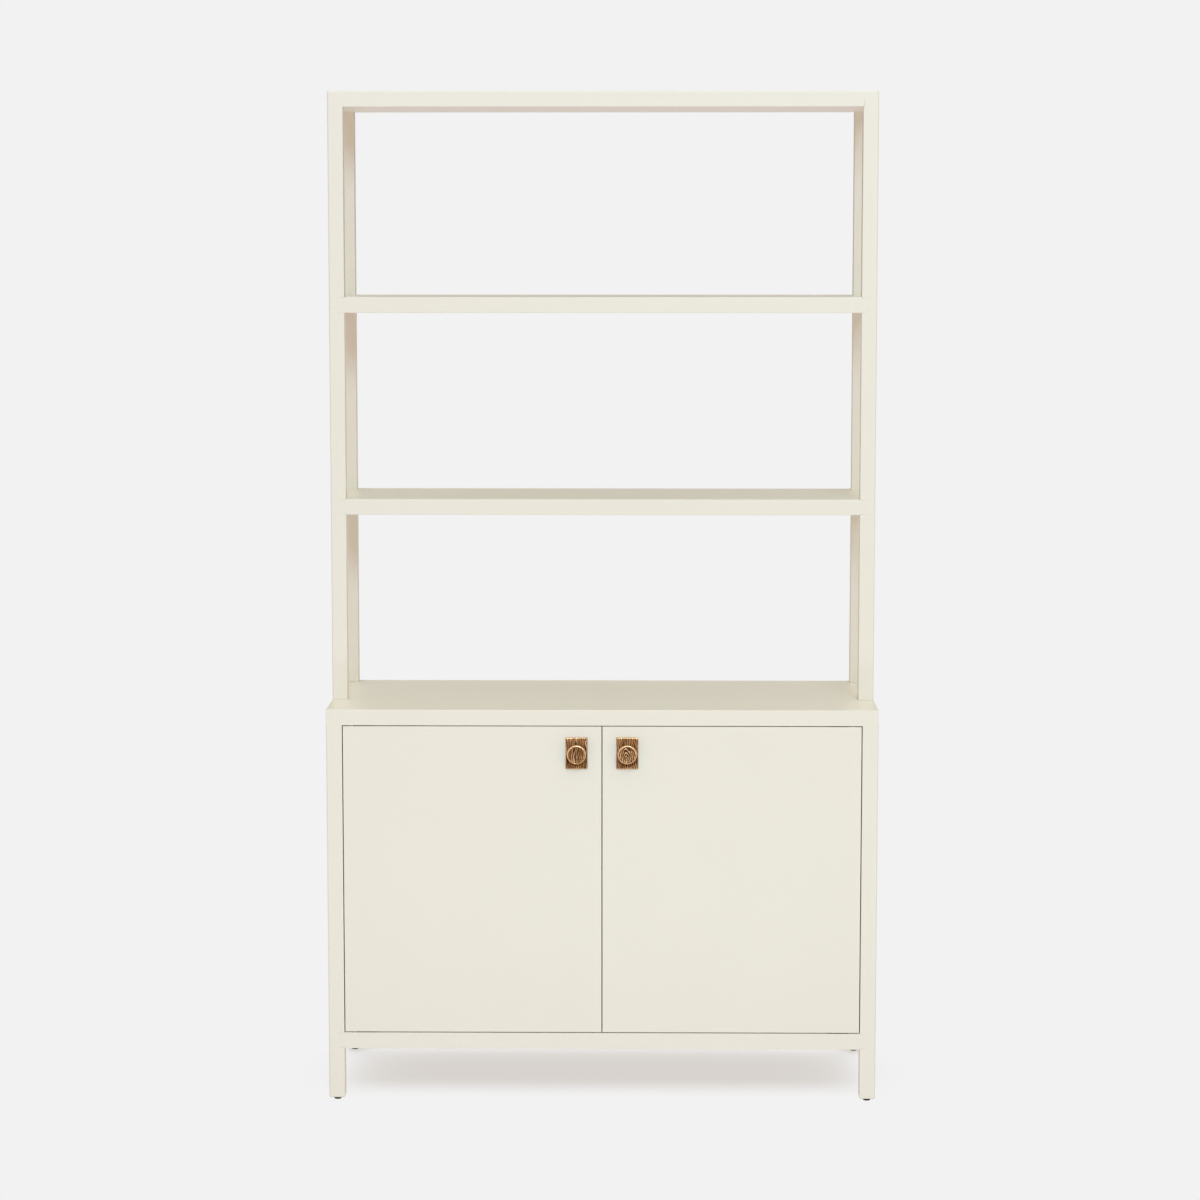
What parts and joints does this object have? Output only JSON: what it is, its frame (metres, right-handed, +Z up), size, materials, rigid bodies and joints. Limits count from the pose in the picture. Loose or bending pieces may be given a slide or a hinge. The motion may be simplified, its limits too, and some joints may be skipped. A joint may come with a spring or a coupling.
{
  "type": "bookcase with hutch",
  "caption": "Cream bookcase: an open hutch with shelves, on a cabinet with flush inset doors, bronze knobs on plates and short square legs.",
  "frame": {"origin": "on the floor, under the middle of the overall box, which includes the knobs", "axes": "+X to the right as seen from the front, +Y to the back, +Z up; the doors are at -Y"},
  "size_m": [1.219, 0.485, 2.241],
  "materials": {
    "cream_lacquer": "cream satin lacquer, opaque, over hollow and solid wood members",
    "antique_bronze": "antique bronze, rippled cast texture, polished rim",
    "steel": "zinc plated",
    "black_glide": "matt black",
    "dowel_wood": "bare beech",
    "catch_plastic": "moulded ivory",
    "magnet_grey": "bare ferrite",
    "washer_brass": "plain brass"
  },
  "bodies": {
    "frame": {"back_panel": "cream_lacquer", "back_panel_screws": "steel", "base_top": "cream_lacquer", "bottom_panel": "cream_lacquer", "bottom_rail_front": "cream_lacquer", "bottom_rail_left": "cream_lacquer", "bottom_rail_rear": "cream_lacquer", "bottom_rail_right": "cream_lacquer", "cabinet_shelf": "cream_lacquer", "carcass_dowels": "dowel_wood", "catch_housing": "catch_plastic", "catch_magnets": "magnet_grey", "catch_screws": "steel", "glides": "black_glide", "hinge_frame_leaf_bottom_left": "steel", "hinge_frame_leaf_bottom_right": "steel", "hinge_frame_leaf_top_left": "steel", "hinge_frame_leaf_top_right": "steel", "hinge_frame_screws": "steel", "hinge_pins": "steel", "hinge_washers": "washer_brass", "hutch_dowels": "dowel_wood", "hutch_post_front_left": "cream_lacquer", "hutch_post_front_right": "cream_lacquer", "hutch_post_rear_left": "cream_lacquer", "hutch_post_rear_right": "cream_lacquer", "hutch_shelf_lower": "cream_lacquer", "hutch_shelf_upper": "cream_lacquer", "hutch_side_rail_lower_left": "cream_lacquer", "hutch_side_rail_lower_right": "cream_lacquer", "hutch_side_rail_upper_left": "cream_lacquer", "hutch_side_rail_upper_right": "cream_lacquer", "hutch_top": "cream_lacquer", "joining_plates": "steel", "joining_screws": "steel", "leg_front_left": "cream_lacquer", "leg_front_right": "cream_lacquer", "leg_rear_left": "cream_lacquer", "leg_rear_right": "cream_lacquer", "locating_dowels": "dowel_wood", "shelf_pins": "steel", "side_panel_left": "cream_lacquer", "side_panel_right": "cream_lacquer"},
    "door_left": {"door_left": "cream_lacquer", "backplate_left": "antique_bronze", "knob_left": "antique_bronze", "knob_bolt_left": "steel", "strike_plate_left": "steel", "door_screws_left": "steel", "hinge_door_leaf_top_left": "steel", "hinge_door_leaf_bottom_left": "steel"},
    "door_right": {"door_right": "cream_lacquer", "backplate_right": "antique_bronze", "knob_right": "antique_bronze", "knob_bolt_right": "steel", "strike_plate_right": "steel", "door_screws_right": "steel", "hinge_door_leaf_top_right": "steel", "hinge_door_leaf_bottom_right": "steel"}
  },
  "joints": [
    {"name": "door_left_hinge", "type": "hinge", "parent": "frame", "child": "door_left", "pos_m": [-0.5525, -0.2065, 0.5015], "axis": [0, 0, -1], "range_deg": [0, 110]},
    {"name": "door_right_hinge", "type": "hinge", "parent": "frame", "child": "door_right", "pos_m": [0.5525, -0.2065, 0.5015], "axis": [0, 0, 1], "range_deg": [0, 110]}
  ]
}
